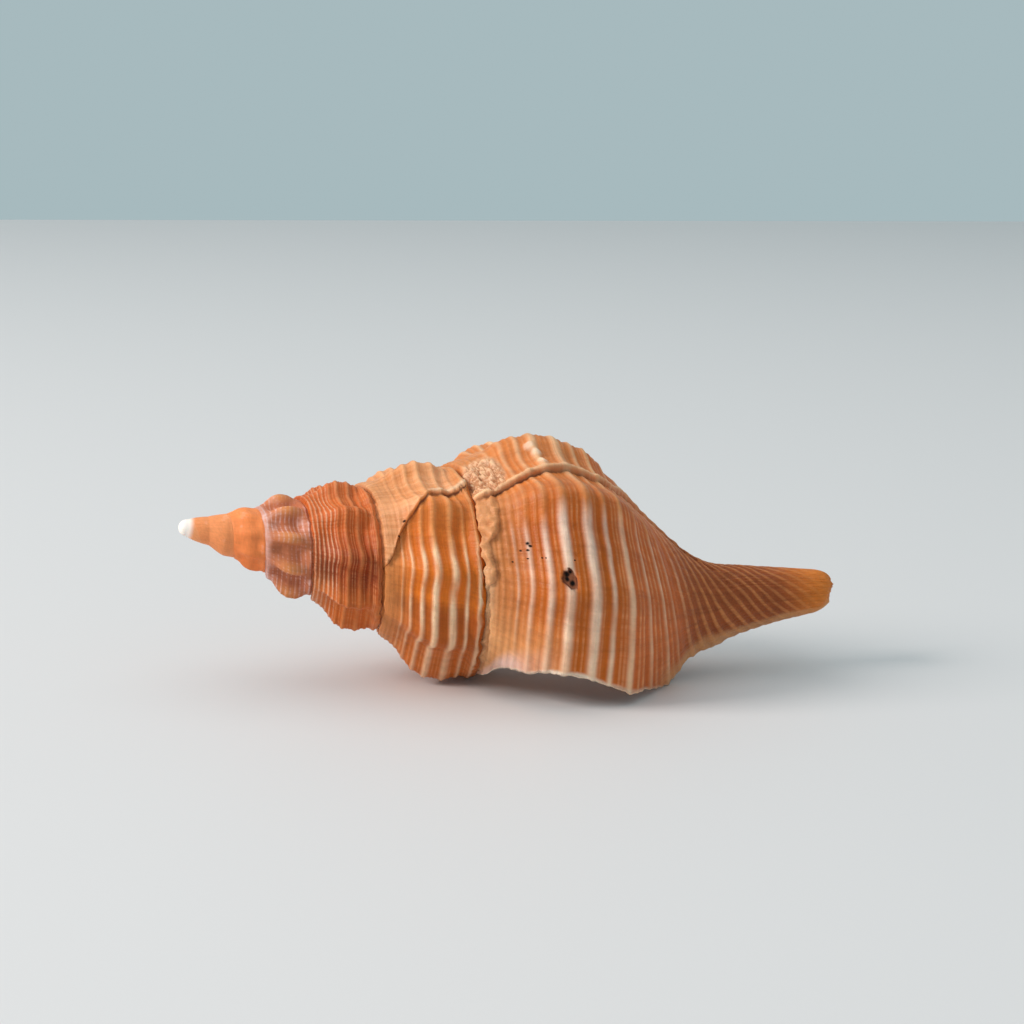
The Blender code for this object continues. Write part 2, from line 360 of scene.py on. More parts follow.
class Shell:
    # the fields of the shell's surface in one geometry node tree
    def __init__(self, tree, sizes, outline):
        self.tree, self.sizes, self.outline = tree, sizes, outline
        self.start = Value(tree, None)
        factor = self.start.node("GeometryNodeSplineParameter")
        self.suture = self.start.node(
            "GeometryNodeSampleIndex",
            {"data_type": "FLOAT", "domain": "POINT"},
            {"Geometry": outline, "Value": factor, "Index": coil["nextSuture"]},
        )

    def onOutline(self, share):
        found = [
            self.start.node(
                "GeometryNodeSampleCurve",
                {"mode": "FACTOR", "data_type": "FLOAT"},
                {"Curves": self.outline, "Factor": share, "Curve Index": 0},
                output,
            )
            for output in ("Position", "Tangent")
        ]
        return [vector.part(axis) for vector in found for axis in (0, 1)]

    def lipAngle(self, along, share):
        # the mouth's edge, chipped a little, most of all down the neck
        chips = along.vector(3.7).noise(26.0, 3.0, 0.7, self.sizes["Seed"]) - 0.5
        ripple = along.vector(9.1).noise(9.0, 1.0, 0.5, self.sizes["Seed"]) - 0.5
        size = share.smooth(0.0, 0.05) * share.smooth(1.0, 0.95) * along.smooth(1.5, 1.95, 3.0, 26.0)
        return along.line(lips["mouth"]) + (chips + ripple * 0.4) * size

    def surface(self, angle, share, inward, bulge):
        # a point of the outer face or this far inside it, bulging by this share of the whorl's size
        along, radius, slopeAlong, slopeOut = self.onOutline(share)
        turns = angle / 360.0
        neck = share.smooth(self.suture, self.suture + 0.3)
        growth, size = self.sizes["Whorl Growth"], self.sizes["Suture Distance"]
        # the oldest whorls bulge less
        flat = angle.smooth(-1150.0, -1500.0) * coil["coneFlat"]
        radius = radius + (along * coil["sutureRadius"] - radius) * flat
        whorl = size * growth**turns
        sizeAlong = size * (growth + (self.sizes["Neck Growth Along"] - growth) * neck) ** turns
        sizeAcross = size * (growth + (self.sizes["Neck Growth Across"] - growth) * neck) ** turns
        # growth would leave the canal's end slanted, so the last turn is drawn out to one length
        level = share.smooth(0.85, 1.0) * angle.smooth(-260.0, -120.0)
        drawn = self.sizes["Neck Growth Along"] ** ((lips["levelAt"] - angle) / 360.0 * level)
        x = along * sizeAlong * drawn + inward * slopeOut
        chipped = angle.wave().vector(angle.wave(1.0, 90.0)).noise(1.6, 3.0, 0.6) - 0.5
        x = x + chipped * share.smooth(0.965, 1.0) * coil["chippedEnd"]
        r = radius * sizeAcross + bulge * whorl - inward * slopeAlong
        around = angle * math.radians(1.0)
        drop = (x / size).line(coil["canalBend"]) * mm
        point = x.vector(r * angle.wave() * -1.0, r * self.start.maths("SINE", around) * -1.0 - drop)
        # the first turn closes on the blunt tip
        since = angle + (share / self.suture).least(1.0) * 360.0 - (self.sizes["Tip Angle"] + 360.0)
        grown = (since / 360.0).held(0.0, 1.0) ** 0.5
        tip = self.sizes["Tip Along"].vector()
        point = tip.blended(point, grown)
        # the tip is round, and the cone behind it at least as thick
        centre = self.sizes["Tip Along"] + self.sizes["Bulb"] * coil["bulbCentre"]
        near = point.part(0).held(centre, coil["coneEnd"])
        taper = near.smooth(centre, coil["coneEnd"], 1.0, coil["coneTaper"])
        thick = near * (self.sizes["Bulb"] / centre) * taper
        away = point.moved("SUBTRACT", near.vector())
        far = away.moved("LENGTH", output="Value")
        self.bulbShare = ((point.part(0) - centre) / self.sizes["Bulb"]).smooth(0.8, 0.0)
        out = (thick / far.most(1e-6)).most(1.0)
        return near.vector().moved("ADD", away.moved("MULTIPLY", out.vector(out, out)))

    def sculpture(self, angle, along, share, former, older):
        # how far the shell bulges, the relief on that in metres, and where its marks are
        down = share / self.suture
        last = angle.smooth(lips["start"] - 360.0, -190.0)
        onLast = last * (down > 0.9)
        covered = down.smooth(0.97, 1.0, 1.0, 0.0)
        covered = covered + (1 - covered) * onLast
        whole = down.smooth(0.0, 0.06) * covered
        sculpted = angle.within(zones["sculpted"])
        glazed = 1 - (down > 1.001) * (1 - angle.smooth(-215.0, -150.0))
        lumps = (angle / 4.5).uneven(along * 38.0)
        rough = (angle / 12.0).uneven(along * 14.0)
        ruffle = 1.0 + 1.2 * (angle / 5.0).uneven(7.0)

        # knobs, strongest on the old whorls and almost gone at the mouth
        window = down.smooth(0.05, 0.45) * down.smooth(1.0, 0.75)
        window = window + (down.smooth(0.05, 0.45) * down.smooth(1.5, 0.9) - window) * last
        oldTurn = cords["oldKnobTurn"] * angle.smooth(-880.0, -1000.0)
        turned = (angle - self.sizes["Knob Phase"] + oldTurn) * self.sizes["Knobs"]
        knob = turned.wave() + 0.22 * turned.wave(2.0) - 0.75 * angle.smooth(-230.0, -330.0)
        for fade in cords["knobFade"]:
            knob = knob * angle.smooth(*fade)
        bulge = self.sizes["Knob Height"] * window * knob

        # the two old lips stand up before the growth that follows them, and lesser stops do too
        beforeFormer, beforeOlder = former - angle, older - angle
        onFormer = angle.within(zones["last"]) * along.smooth(2.0, 1.6)
        onOlder = angle.within(zones["penultimate"])
        rise = whole * beforeFormer.smooth(-0.5, 0.4) * beforeFormer.fading(35.0) * onFormer
        bulge = bulge + scars["formerRise"] * rise
        rise = whole * beforeOlder.smooth(-0.7, 0.5) * beforeOlder.fading(30.0) * onOlder
        bulge = bulge + scars["olderRise"] * rise
        for stopAngle, slant, height in scars["stops"]:
            past = stopAngle - slant * (down - 0.5) - angle
            rise = whole * past.smooth(-2.5, 1.5) * past.fading(22.0) * past.smooth(150.0, 90.0)
            bulge = bulge + height * rise
        bulge = bulge - scars["waist"] * along.bump(1.48, 0.07) * last
        dip = angle.bump(-98.0, 38.0) * along.smooth(1.10, 1.22) * along.smooth(1.85, 1.45)
        bulge = bulge - scars["topDip"] * dip
        wrinkle = (angle / 3.5).uneven(along * 4.0)
        bulge = bulge + (wrinkle * 0.007 + rough * 0.006) * whole

        # cords and threads, and the collar below a suture
        strong, thread, neck = cordLines(along, angle)[:3]
        neckHeight = 0.45 * along.smooth(2.25, 1.9)
        relief = (strong.most(neck * neckHeight) - 0.4 * along.smooth(1.06, 1.14)) * self.sizes["Cord Height"]
        relief = (relief + thread * self.sizes["Thread Height"]) * covered * sculpted * glazed
        collar = (1 - 0.85 * angle.smooth(-45.0, -15.0)) * down.smooth(0.02, 0.05) * down.smooth(0.22, 0.07)
        collar = collar * ruffle * sculpted * angle.smooth(60.0, 20.0)
        relief = relief * down.smooth(0.0, 0.03) + collar * scars["collar"]
        strip = stripField(along, angle) * down.smooth(0.0, 0.012)
        ripples = (angle / 2.6).uneven(along * 12.0, 1.0)
        stripped = strip * scars["stripHeight"] * (1.0 + lumps * 2.6 + ripples * 1.2)
        relief = relief * (1 - strip * 0.7) + stripped

        # the rims of the old lips
        onRim = onFormer * whole
        ridge = beforeFormer.bump(1.7, 1.2) * onRim * (0.9 + lumps * 2.6) * along.smooth(1.5, 1.25, 0.5, 1.0)
        ridge = ridge - beforeFormer.bump(-1.2, 1.0) * onRim * 0.45
        relief = relief * (1 - 0.6 * beforeFormer.bump(2.0, 2.0) * onFormer) + ridge * scars["rim"]
        onRim = onOlder * whole
        ridge = (beforeOlder.bump(1.0, 1.2) * 0.5 - beforeOlder.bump(-1.0, 1.0) * 0.4) * onRim
        thickEdge = beforeOlder.bump(3.0, 2.3) * along.smooth(1.24, 1.30) * onRim
        relief = relief + (ridge + thickEdge * (1.0 + lumps * 2.0)) * scars["rim"]

        # beads, the worn patch, the pit, and the raised edge and the groove at a suture
        for spotAngle, spotAlong in scars["beads"]:
            bead = nearSpot(along, angle - spotAngle, spotAlong, scars["beadSize"])
            relief = relief + bead * scars["beadHeight"]
        wornAngle, wornAlong = scars["worn"]
        offset = (angle - wornAngle) * scars["wornLength"] + lumps * 4.0
        worn = nearSpot(along, offset, wornAlong, scars["wornSize"]).smooth(0.1, 0.5) * down.smooth(0.0, 0.02)
        crumbs = 0.6 - fibres(along, angle) + rough
        relief = relief * (1 - worn) + worn * crumbs * scars["wornHeight"]
        pitAngle, pitAlong = scars["pit"]
        offset = (angle - pitAngle) * 0.8 + lumps * 5.0
        dent = nearSpot(along + lumps * 0.016, offset, pitAlong, scars["pitSize"]).smooth(0.15, 0.8)
        edgeUp = down.smooth(0.84, 0.95) * down.smooth(1.0, 0.985) * (1 - onLast) * sculpted * ruffle
        groove = down.smooth(0.0, 0.012) * down.smooth(0.05, 0.02) * sculpted
        relief = relief + (edgeUp * 0.9 - groove * (1 - strip) * 0.5) * scars["collar"]
        relief = relief * (self.sizes["Whorl Growth"] ** (angle / 360.0)) ** 0.55 - dent * scars["pitDepth"]
        return bulge, relief, {"glazed": glazed, "worn": worn, "dent": dent, "lumps": lumps}


def addInputs(tree, named):
    # named inputs of the tree, and its modifier's keys for them
    keys = {}
    for name, kind in named.items():
        keys[name] = tree.interface.new_socket(name, in_out="INPUT", socket_type=kind).identifier
    tree.interface.new_socket("Geometry", in_out="OUTPUT", socket_type="NodeSocketGeometry")
    return keys


def passed(geometry, kind, values, settings=None):
    # geometry through one more node
    return geometry.node("GeometryNode" + kind, settings, {"Geometry": geometry, **values})


def thinned(geometry, domain, selection):
    return passed(geometry, "DeleteGeometry", {"Selection": selection}, {"domain": domain, "mode": "ALL"})


def shellTree(names):
    tree = bpy.data.node_groups.new("shellGrowth", "GeometryNodeTree")
    kinds = {name: "NodeSocketFloat" for name in names}
    keys = addInputs(tree, {**kinds, "Outline": "NodeSocketObject", "Material": "NodeSocketMaterial"})
    group = tree.nodes.new("NodeGroupInput")
    sizes = {name: Value(tree, group.outputs[name]) for name in keys}
    start = Value(tree, None)
    outline = start.node("GeometryNodeObjectInfo", None, {"Object": sizes["Outline"]}, "Geometry")
    shell = Shell(tree, sizes, outline)

    # One sheet: rows run round the coil from the tip to the mouth's edge, turn in over it and run back
    # inside. Columns run down a whorl: the part above the next suture, the rest to the canal, and its end.
    lipAngle, fine, middle, coarse = lips["start"], mesh["fine"], mesh["middle"], mesh["coarse"]
    fineRows = round(360.0 / fine)
    middleRows = round(720.0 / middle)
    coarseRows = round(mesh["spireAngle"] / coarse)
    rimRows, nearRows = 4, 12
    farRows = round((lips["cavityTurn"] + lipAngle - nearRows * fine) / coarse)
    lipRow = fineRows + middleRows + coarseRows
    rows = lipRow + 1 + rimRows + nearRows + farRows + 1
    seam, base = mesh["spireColumns"], mesh["baseColumns"]
    columns = seam + base + 2
    grid = start.node(
        "GeometryNodeMeshGrid",
        None,
        {"Size X": columns - 1.0, "Size Y": rows - 1.0, "Vertices X": columns, "Vertices Y": rows},
    )
    position = start.node("GeometryNodeInputPosition")
    columnHere = position.part(0) + 0.5 * (columns - 1)
    rowHere = position.part(1) + 0.5 * (rows - 1)
    column = start.maths("ROUND", columnHere)
    row = start.maths("ROUND", rowHere)

    inner = row > lipRow + 0.5
    isBase = column > seam + 0.5
    isEnd = column > seam + base + 0.5
    baseStart = shell.suture + lips["innerSuture"]
    baseShare = baseStart + (1 - baseStart) * ((column - seam - 1) / (base - 1)).least(1.0)
    share = (column / seam) ** 1.2 * shell.suture * (1 - isBase) + isBase * baseShare

    # Rows back from the mouth's edge. Older whorls have coarser rows, and where a finer row meets them at a
    # suture it slides to the coarse one beside it, so that the merge closes the seam.
    back = lipRow - row
    atTop = column < 0.5
    onTwo = (
        atTop * (back < fineRows + 0.5)
        + isBase * (back > fineRows - 0.5)
        + atTop * (back > fineRows + 0.5 * middleRows - 0.5)
    )
    even = back.steps(2.0)
    back = back + (even - back) * onTwo.least(1.0) * (back < fineRows + middleRows + 0.5)
    outerRow = (
        lipAngle
        - back.held(0.0, fineRows) * fine
        - (back - fineRows).held(0.0, middleRows) * middle
        - (back - fineRows - middleRows).most(0.0) * coarse
    )
    inRow = (row - lipRow - 1 - rimRows).most(0.0)
    innerAngle = inRow.least(nearRows) * fine + (inRow - nearRows).most(0.0) * coarse
    atEnds = atTop.most(share > 0.9999)
    innerAngle = innerAngle + (innerAngle.steps(coarse) - innerAngle) * atEnds
    rowAngle = outerRow + (lipAngle - innerAngle - outerRow) * inner

    # Rows lean to the mouth's edge over the last part. Others crowd together and follow the two old lips.
    along, radius = shell.onOutline(share)[:2]
    lip = shell.lipAngle(along, share)
    former, older = along.line(lips["former"]), along.line(lips["older"])
    formerRow, olderRow = lips["former"][0][1], lips["olderRow"]
    onSpire = share.smooth(shell.suture, shell.suture - 0.02)
    onWhole = (onSpire + isBase * share.smooth(1.0, 0.98)).least(1.0)
    for crowded, width, where in ((formerRow, 12.0, onWhole), (olderRow, 14.0, onSpire)):
        off = rowAngle - crowded
        rowAngle = rowAngle - off * 0.6 * off.bump(0.0, width) * (1 - inner) * share.smooth(0.0, 0.02) * where
    leanFrom = mesh["leanFrom"]
    lean = ((rowAngle - leanFrom) / (lipAngle - leanFrom)).most(0.0)
    formerLean = (formerRow - leanFrom) / (lipAngle - leanFrom)
    nearFormer = rowAngle.smooth(formerRow - 80.0, formerRow) * rowAngle.smooth(formerRow + 40.0, formerRow)
    nearOlder = rowAngle.smooth(olderRow - 70.0, olderRow) * rowAngle.smooth(olderRow + 70.0, olderRow)
    nearOlder = nearOlder * share.smooth(0.0, 0.04) * share.smooth(shell.suture, shell.suture - 0.04)
    angle = (
        rowAngle
        + lean * (lip - lipAngle)
        + nearFormer * (former - formerRow - formerLean * (lip - lipAngle))
        + nearOlder * (1 - inner) * (older - olderRow).held(-30.0, 22.0)
    )

    # Over the mouth's edge the rows run round the wall's thickness.
    rim = ((row - lipRow - 1) / rimRows).held(0.0, 1.0)
    rim = rim + ((rim > 0.001) - rim) * atEnds
    depth = 0.5 - 0.5 * (rim * 180.0).wave()
    onRim = start.maths("SINE", rim * math.pi)
    lipward = (lip - angle).smooth(90.0, 0.0)
    thin = lipward.most(share.smooth(shell.suture, 0.75))
    wall = sizes["Wall"] + (sizes["Edge"] * 1.5 - sizes["Wall"]) * thin
    wall = wall * sizes["Whorl Growth"] ** (angle.least(0.0) / 360.0)
    edge = (lip - angle).smooth(4.0, 0.0)
    wall = wall + (sizes["Edge"] - wall) * edge * share.smooth(0.75, 0.5)
    rounding = sizes["Edge"] / (radius * coil["sutureDistance"]) * math.degrees(0.45)
    angle = angle + onRim * rounding

    # The outer face, and inside it the inner one, which lies on the whorl before where the shell is closed.
    bulge, relief, marked = shell.sculpture(angle, along, share, former, older)
    nearLip = (lip - angle).smooth(12.0, 0.0)
    relief = relief * (1 - inner + inner * nearLip * 0.8)
    skin = shell.surface(angle, share, wall * depth * inner - relief, bulge * (1 - inner * 0.6))
    bulb = shell.bulbShare * (1 - inner)
    under = shell.surface(angle - 360.0, share.most(baseStart), 0.0, 0.0)
    hollow = (rowAngle + lips["cavityTurn"]).smooth(0.0, 60.0)
    hollow = (hollow * share.smooth(0.0, 0.09) * (1.0 - share).smooth(0.0, 0.1)) ** 0.5
    hollow = hollow + (1 - hollow) * (rim < 0.999)
    point = under.blended(skin, 1 - inner + inner * hollow)

    # sutures are ragged: both sides of one move together
    down = share / shell.suture
    above = down.smooth(0.88, 1.0) * (1 - isBase) * angle.smooth(-200.0, lipAngle - 360.0)
    nearSeam = down.smooth(0.10, 0.0).most(above) * (1 - inner * (rim > 0.001))
    nearSeam = nearSeam * point.part(0).smooth(*scars["raggedBetween"])
    ragged = point.noise(700.0, 2.0, 0.6) - 0.5
    point = point.moved("ADD", (point.part(0) * ragged * nearSeam * scars["ragged"]).vector())

    # One point closes the canal's end.
    ends = (start.number(lipAngle), start.number(lipAngle - 180.0))
    top, foot = (shell.surface(end, start.number(1.0), 0.0, 0.0) for end in ends)
    centre = top.blended(foot, 0.5).moved("ADD", (lips["endBulge"], 0.0, 0.0))
    point = point.blended(centre, isEnd)

    # Faces that stay. The rest are under a later whorl or beyond the cavity.
    rowBack = lipRow - rowHere
    lastTurn = (rowBack < fineRows) * (rowBack > -1.0 - rimRows)
    parietal = rowBack < fineRows + (lips["cavityTurn"] + lipAngle) / middle
    isOuter = rowHere < lipRow
    inSpire = columnHere < seam
    inGap = (columnHere > seam) * (columnHere < seam + 1)
    inBase = (columnHere > seam + 1) * (columnHere < seam + base)
    inEnd = columnHere > seam + base
    keep = (
        inSpire * isOuter
        + inGap * isOuter * lastTurn
        + inBase * isOuter * parietal
        + (1 - isOuter) * (1 - inEnd)
        + inEnd * lastTurn
    )
    geometry = thinned(grid, "FACE", keep < 0.5)

    fields = {
        "place": (angle / 360.0).vector(along, inner),
        "marks": marked["glazed"].vector(marked["worn"], marked["dent"]),
        "ends": bulb.vector(marked["lumps"]),
    }
    for name, field in fields.items():
        settings = {"data_type": "FLOAT_VECTOR", "domain": "CORNER"}
        geometry = passed(geometry, "StoreNamedAttribute", {"Name": name, "Value": field}, settings)
    geometry = passed(geometry, "SetPosition", {"Position": point})
    geometry = passed(geometry, "MergeByDistance", {"Distance": mesh["merge"]})
    alone = start.node("GeometryNodeInputMeshVertexNeighbors", None, None, "Face Count") < 0.5
    geometry = thinned(geometry, "POINT", alone)
    geometry = passed(geometry, "SetShadeSmooth", {"Shade Smooth": True})
    geometry = passed(geometry, "RealizeInstances", {})
    geometry = passed(geometry, "SetMaterial", {"Material": sizes["Material"]})
    result = tree.nodes.new("NodeGroupOutput")
    tree.links.new(geometry.socket, result.inputs["Geometry"])
    return tree, keys


def growShell(material):
    outline = profileCurve()
    values = {
        "Suture Distance": coil["sutureDistance"], "Whorl Growth": coil["whorlGrowth"],
        "Neck Growth Along": coil["neckGrowthAlong"], "Neck Growth Across": coil["neckGrowthAcross"],
        "Tip Along": coil["tipAlong"], "Bulb": coil["bulb"],
        "Tip Angle": lips["start"] - 360.0 - 720.0 - mesh["spireAngle"],
        "Knobs": float(cords["knobs"]), "Knob Phase": cords["knobPhase"], "Knob Height": cords["knobHeight"],
        "Cord Height": cords["height"], "Thread Height": cords["threadHeight"],
        "Wall": lips["wall"], "Edge": lips["edge"], "Seed": cords["seed"],
        "Outline": outline, "Material": material,
    }
    tree, keys = shellTree(values)
    holder = bpy.data.objects.new("conchSeed", bpy.data.meshes.new("conchSeed"))
    bpy.context.scene.collection.objects.link(holder)
    modifier = holder.modifiers.new("growth", "NODES")
    modifier.node_group = tree
    for name, value in values.items():
        modifier[keys[name]] = value
    graph = bpy.context.evaluated_depsgraph_get()
    finished = holder.evaluated_get(graph)
    grown = bpy.data.meshes.new_from_object(finished, preserve_all_data_layers=True, depsgraph=graph)
    holder.modifiers.clear()
    bpy.data.objects.remove(holder)
    bpy.data.objects.remove(outline)
    return grown


def laidDown(grown):
    # turned to how it lies, then fitted to the frame's box: its length, its middle and its lowest point
    low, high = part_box("shell")
    pose = (
        Matrix.Rotation(math.radians(coil["turn"]), 4, "Z")
        @ Matrix.Rotation(math.radians(coil["tilt"]), 4, "Y")
        @ Matrix.Rotation(math.radians(coil["roll"]), 4, "X")
    )
    grown.transform(pose)
    corners = np.empty(len(grown.vertices) * 3, np.float32)
    grown.vertices.foreach_get("co", corners)
    corners = corners.reshape(-1, 3)
    least, most = corners.min(axis=0), corners.max(axis=0)
    scale = (high.x - low.x) / (most[0] - least[0])
    middle = Vector(((least[0] + most[0]) / 2, (least[1] + most[1]) / 2, least[2]))
    target = Vector(((low.x + high.x) / 2, (low.y + high.y) / 2, low.z))
    grown.transform(Matrix.Translation(target) @ Matrix.Scale(scale, 4) @ Matrix.Translation(-middle))
    shaped = bmesh.new()
    shaped.from_mesh(grown)
    bmesh.ops.recalc_face_normals(shaped, faces=shaped.faces)
    print("open edges:", sum(len(edge.link_faces) != 2 for edge in shaped.edges))
    shaped.to_mesh(grown)
    shaped.free()
    print("size in mm:", [round(side / mm, 2) for side in most - least], "scale", round(scale, 4))


# Colours: first those that change along the coil, by angle, between the cords and on them.
paints = {
    "ground": [
        (-2100.0, (244, 158, 104)), (-1500.0, (240, 138, 78)), (-1330.0, (234, 124, 64)),
        (-1240.0, (190, 104, 70)), (-1080.0, (188, 110, 74)), (-1020.0, (176, 96, 66)),
        (-900.0, (176, 76, 30)), (-790.0, (206, 100, 38)), (-750.0, (196, 86, 24)), (-732.0, (150, 56, 12)),
        (-704.0, (146, 54, 12)), (-688.0, (206, 104, 38)), (-640.0, (200, 96, 30)), (-520.0, (212, 118, 48)),
        (-430.0, (222, 136, 74)), (-412.0, (214, 118, 50)), (-385.0, (212, 104, 20)),
        (-352.0, (218, 112, 18)), (-343.0, (172, 80, 12)), (-325.0, (182, 90, 20)),
        (-300.0, (202, 106, 38)), (-230.0, (190, 84, 14)), (-110.0, (216, 126, 60)), (-58.0, (210, 116, 54)),
        (-50.0, (204, 104, 34)), (-38.0, (188, 86, 8)), (-20.0, (194, 94, 8)), (22.0, (196, 96, 8)),
        (34.0, (212, 98, 10)), (46.0, (206, 98, 16)), (72.0, (216, 130, 52)),
    ],
    "cord": [
        (-2100.0, (238, 146, 92)), (-1300.0, (226, 126, 70)), (-1080.0, (214, 150, 112)),
        (-800.0, (216, 142, 94)), (-700.0, (204, 118, 64)), (-640.0, (226, 144, 86)),
        (-450.0, (234, 166, 112)), (-400.0, (232, 152, 92)), (-388.0, (232, 152, 84)),
        (-382.0, (252, 214, 174)), (-300.0, (236, 186, 146)), (-110.0, (238, 190, 146)),
        (-60.0, (228, 168, 122)), (-54.0, (216, 136, 80)), (-41.5, (214, 130, 70)),
        (-39.5, (244, 208, 186)), (30.0, (248, 208, 172)), (72.0, (244, 206, 168)),
    ],
    "besideSuture": (204, 130, 74),
    "neck": (200, 98, 40),
    "furrow": (150, 74, 34),
    "neckCord": (222, 140, 80),
    "canalEnd": (240, 138, 48),
    "edge": (248, 226, 202),
    "inside": (246, 178, 132),
    "beige": (234, 166, 108),
    "cream": (218, 152, 102),
    "crust": (232, 204, 200),
    "thread": (226, 150, 100),
    "fineLine": (222, 168, 136),
    "elder": (242, 182, 138),
    "knob": (226, 142, 84),
    "rim": (242, 192, 148),
    "pale": (250, 200, 152),
    "crumb": (178, 110, 66),
    "wornPale": (238, 190, 150),
    # painted shadow for grooves, sutures and the pit's wall, the pit's own colour, and painted shade for the
    # bored holes
    "shadowColour": (88, 40, 22),
    "pit": (128, 76, 52),
    "holeShade": (14, 6, 4),
    "tip": (252, 240, 230),
    "beadSize": 1.0 * mm,
    "holeSize": 1.4 * mm,
    "holes": [
        (-28.4, 1.127, 0.28), (-27.2, 1.133, 0.24), (-25.3, 1.124, 0.20), (-25.0, 1.105, 0.17),
        (-19.5, 1.080, 0.15), (-21.5, 1.122, 0.13), (-21.9, 1.161, 0.13), (-21.9, 1.173, 0.12),
        (-22.3, 1.262, 0.13), (-16.6, 1.230, 0.40), (-14.9, 1.230, 0.36), (-13.6, 1.246, 0.40),
        (-17.6, 1.242, 0.24), (-399.6, 1.108, 0.36), (-389.0, 1.080, 0.22),
    ],
    # how much each unevenness shows in the colour's brightness and in the fine relief
    "brightness": 1.13,
    "uneven": {
        "growth": 0.35, "mottle": 0.6, "rings": 0.5, "streaks": 0.38, "blotch": 0.30, "grain": 0.16,
        "lines": 0.20, "fine": 0.16,
    },
    "bump": {"rings": 2.0, "streaks": 0.9, "grain": 0.4, "lines": 0.30, "fine": 0.20},
    "bumpHeight": 0.25 * mm,
    "bumpStrength": 0.8,
    "roughness": 0.45,
    "translucent": 0.08,
    "lightDepth": 1.5 * mm,
    "gloss": 0.22,
}


class Skin:
    # the colours of the shell's surface in one material's node tree
    def __init__(self, tree):
        start = Value(tree, None)
        place, marks, ends = (
            start.node("ShaderNodeAttribute", {"attribute_name": name}, None, "Vector")
            for name in ("place", "marks", "ends")
        )
        self.angle, self.along, self.inside = place.part(0) * 360.0, place.part(1), place.part(2)
        self.glazed, self.worn, self.dent = (marks.part(axis) for axis in (0, 1, 2))
        self.bulb, self.lumps = ends.part(0), ends.part(1)
        angle, along = self.angle, self.along
        self.last = angle.within(zones["last"])
        self.sculpted = angle.within(zones["sculpted"])
        self.beforeFormer = along.line(lips["former"]) - angle
        self.beforeOlder = along.line(lips["older"]) - angle
        self.beforeMouth = along.line(lips["mouth"]) - angle

        point = start.node("ShaderNodeTexCoord", None, None, "Object")
        self.blotch = point.noise(170.0, 3.0) - 0.5
        self.grain = point.noise(1400.0, 2.0) - 0.5
        self.mottle = (point.noise(420.0, 3.0, 0.6) - 0.5) * (1 - self.sculpted)
        self.streaks = (angle * 0.35).uneven(along * 3.0, 3.0, 0.6) * angle.smooth(-1400.0, -1000.0)
        self.lines = (along * 160.0).uneven(angle * 0.02)
        self.fine = (angle * 1.1).uneven(along * 24.0, 2.0, 0.6) * angle.smooth(-1300.0, -1000.0)
        self.growth = (angle * 0.16).uneven(along * 2.2 + 5.0, 3.0, 0.65)
        self.rings = (angle * 0.09).uneven(along * 30.0, 3.0, 0.7) * along.smooth(1.6, 1.8) * self.last

    def painted(self, surface, name, share):
        return surface.blended(colour(*paints[name]), share, "RGBA")

    def paint(self, name, share):
        self.surface = self.painted(self.surface, name, share)

    def summed(self, shares):
        # the unevennesses, each as much as stated
        return sum(getattr(self, name) * share for name, share in shares.items())

    def banded(self):
        # The ground and the cords. The zones' edges step a little from cord to cord.
        angle, along, last, blotch, streaks = self.angle, self.along, self.last, self.blotch, self.streaks
        strong, thread, neck, beside = cordLines(along, angle)
        later = 6.0 * along.smooth(1.225, 1.175) * angle.smooth(-60.0, -50.0)
        stepped = angle - later + (along * 60.0).uneven(3.0, 1.0) * 7.0 + blotch * 3.0
        ground, pale = stepped.ramp(paints["ground"]), stepped.ramp(paints["cord"])
        ground = self.painted(ground, "neck", along.smooth(1.36, 1.52) * last * 0.9)
        ground = self.painted(ground, "furrow", along.smooth(1.64, 1.80) * along.smooth(2.22, 2.08) * 0.85)
        pale = self.painted(pale, "beige", along.smooth(1.37, 1.45) * last * 0.45)
        pale = self.painted(pale, "neckCord", along.smooth(1.62, 1.78))
        sutured = along.smooth(1.16, 1.03) * angle.smooth(-800.0, -500.0) * 0.8
        ground = self.painted(ground, "besideSuture", sutured + self.lines * 0.5 * along.smooth(1.7, 1.5))

        patches = (angle / 16.0).uneven(along * 22.0, 1.0) * angle.smooth(-300.0, -340.0, 1.4, 2.4)
        strength = angle.smooth(-300.0, -420.0, 1.0, 0.8) * angle.smooth(-560.0, -640.0, 1.0, 0.75)
        neckShare = neck.smooth(0.45, 1.0) * (0.5 + streaks * 0.8 + blotch)
        cordShare = (strong.smooth(0.05, 1.0) * (0.88 + patches) * strength).most(neckShare)
        threadShare = thread.smooth(0.25, 1.0) * (0.6 + streaks * 2.0 + blotch * 1.5)
        threadShare = threadShare * along.smooth(1.38, 1.48, 0.55, 0.8)
        self.surface = self.painted(ground, "thread", threadShare * self.sculpted)
        self.surface = self.surface.blended(pale, cordShare * self.sculpted, "RGBA")
        lineShare = beside * (0.34 + blotch * 2.0 + streaks * 1.6)
        self.paint("fineLine", lineShare.least(0.65))

        # the fourth whorl's knobs are clearer than its ground and its cords faint
        fourth = angle.within(zones["fourth"])
        turned = (angle - cords["knobPhase"] + cords["oldKnobTurn"]) * cords["knobs"]
        knobbed = turned.wave().smooth(-0.2, 1.0) * along.bump(1.25, 0.12)
        self.paint("knob", fourth * knobbed * 0.9)
        faint = along.stripes(cords["faintSpacing"]) ** 4.0 * fourth * (0.25 + streaks * 2.0 + blotch * 2.0)
        self.paint("crust", faint.least(0.45))

        # paler at the suture, near the mouth and at the canal's end
        foot = along.smooth(1.452, 1.468) * angle.smooth(-420.0, -500.0) * self.sculpted
        self.paint("beige", foot * (0.5 + blotch * 1.5))
        # the last whorl's start beside the suture: its own cream colour, and painted light lifting the shade
        # on the slope there
        paleLitStart = along.smooth(1.04, 1.005) * last * angle.smooth(-35.0, -10.0)
        self.paint("pale", paleLitStart * (0.8 + blotch))
        nearMouth = angle.smooth(-5.0, 22.0) * along.smooth(1.28, 1.16) * last
        self.paint("beige", nearMouth * (0.55 + blotch))
        self.paint("canalEnd", along.smooth(2.10, 2.24) * 0.75)

